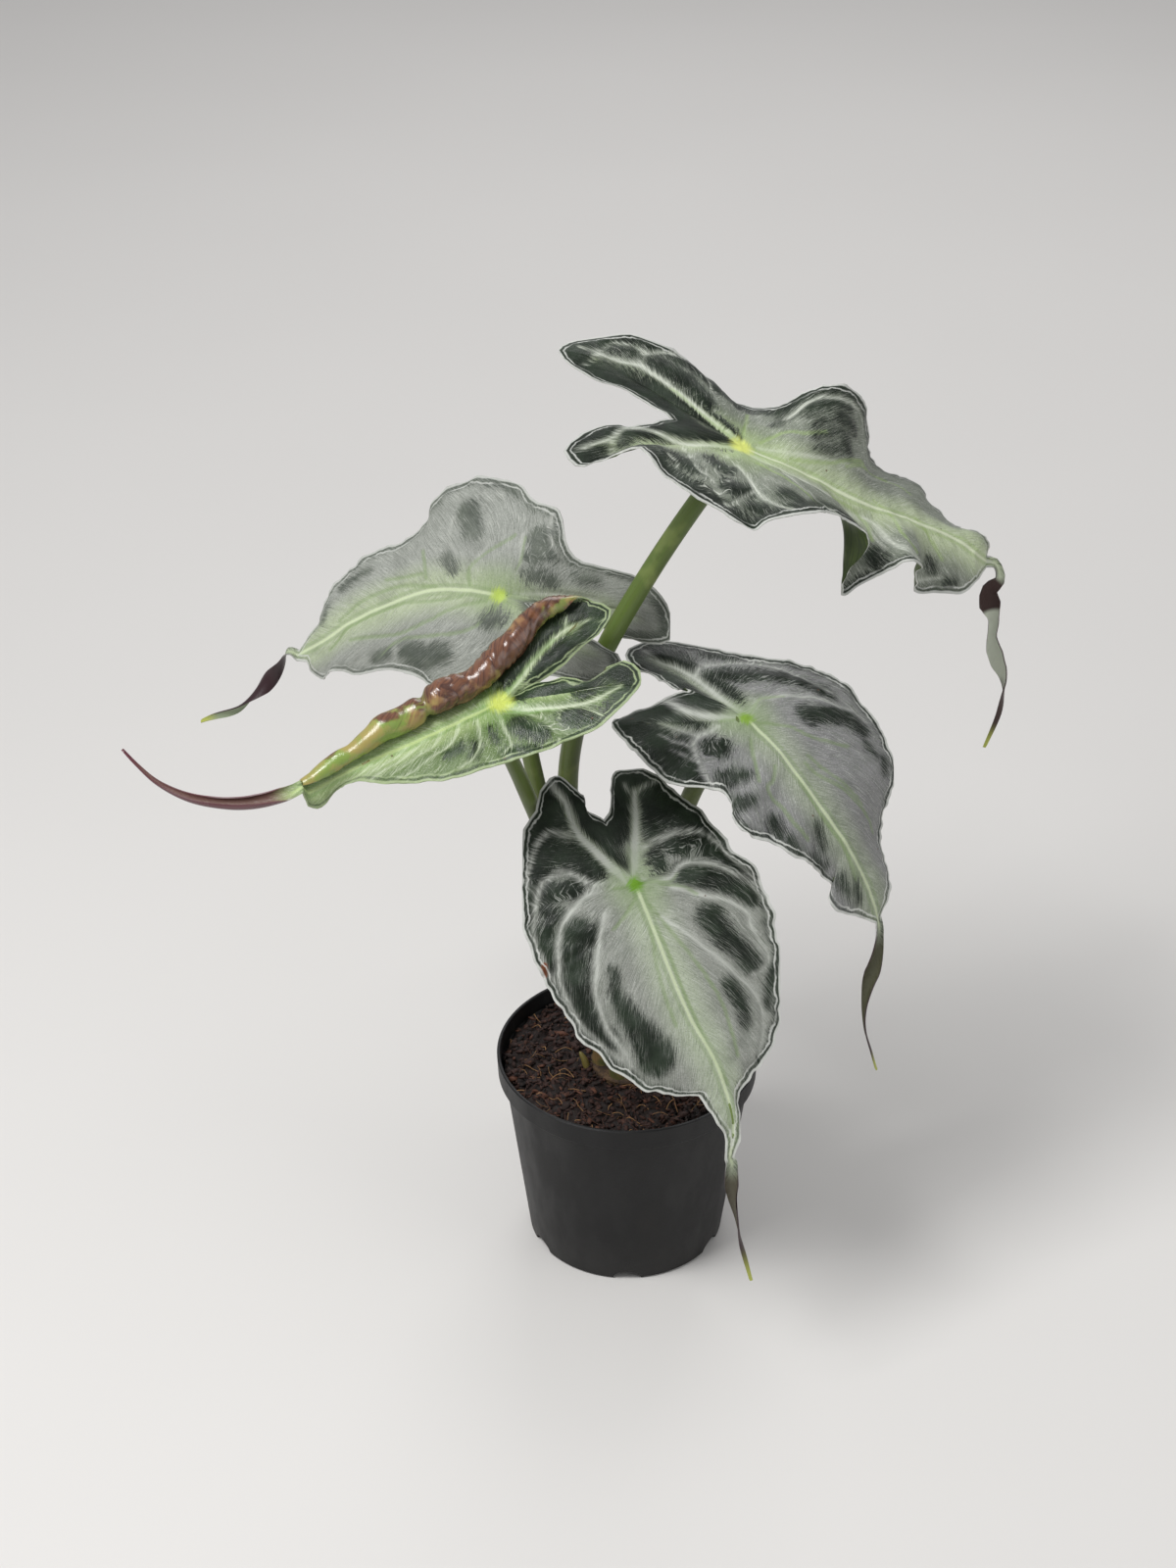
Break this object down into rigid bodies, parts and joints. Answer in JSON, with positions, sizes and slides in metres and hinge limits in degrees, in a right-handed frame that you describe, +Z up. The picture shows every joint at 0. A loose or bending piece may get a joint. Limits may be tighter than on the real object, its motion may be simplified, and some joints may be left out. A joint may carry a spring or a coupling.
{
  "type": "potted foliage house plant",
  "caption": "Potted aroid with long arching stalks, arrow-shaped sculpted blades with waved margins and twisted drip tips, the youngest half rolled, in a tapered nursery pot.",
  "frame": {"origin": "centre of the pot's flat base, on the surface the pot stands on", "axes": "+Z up the plant, -Y towards the side the picture was taken from, +X to the right in the picture"},
  "size_m": [0.3809, 0.2011, 0.433],
  "materials": {
    "pot": "matt black moulded plastic",
    "soil": "loose moist coir and bark",
    "corm": "dry, ringed stem base",
    "stalk": "smooth satin green",
    "blade": "silver and deep green upper face, olive underside, soft sheen",
    "blade_young": "bright green upper face with pale veins, glossy maroon underside"
  },
  "bodies": {
    "root": {"pot": "pot", "soil": "soil", "corm": "corm", "stalk_upper": "stalk", "stalk_front": "stalk", "stalk_right": "stalk", "stalk_back": "stalk", "stalk_rolled": "stalk", "blade_upper": "blade", "blade_front": "blade", "blade_right": "blade", "blade_back": "blade", "blade_rolled": "blade_young"}
  },
  "joints": []
}
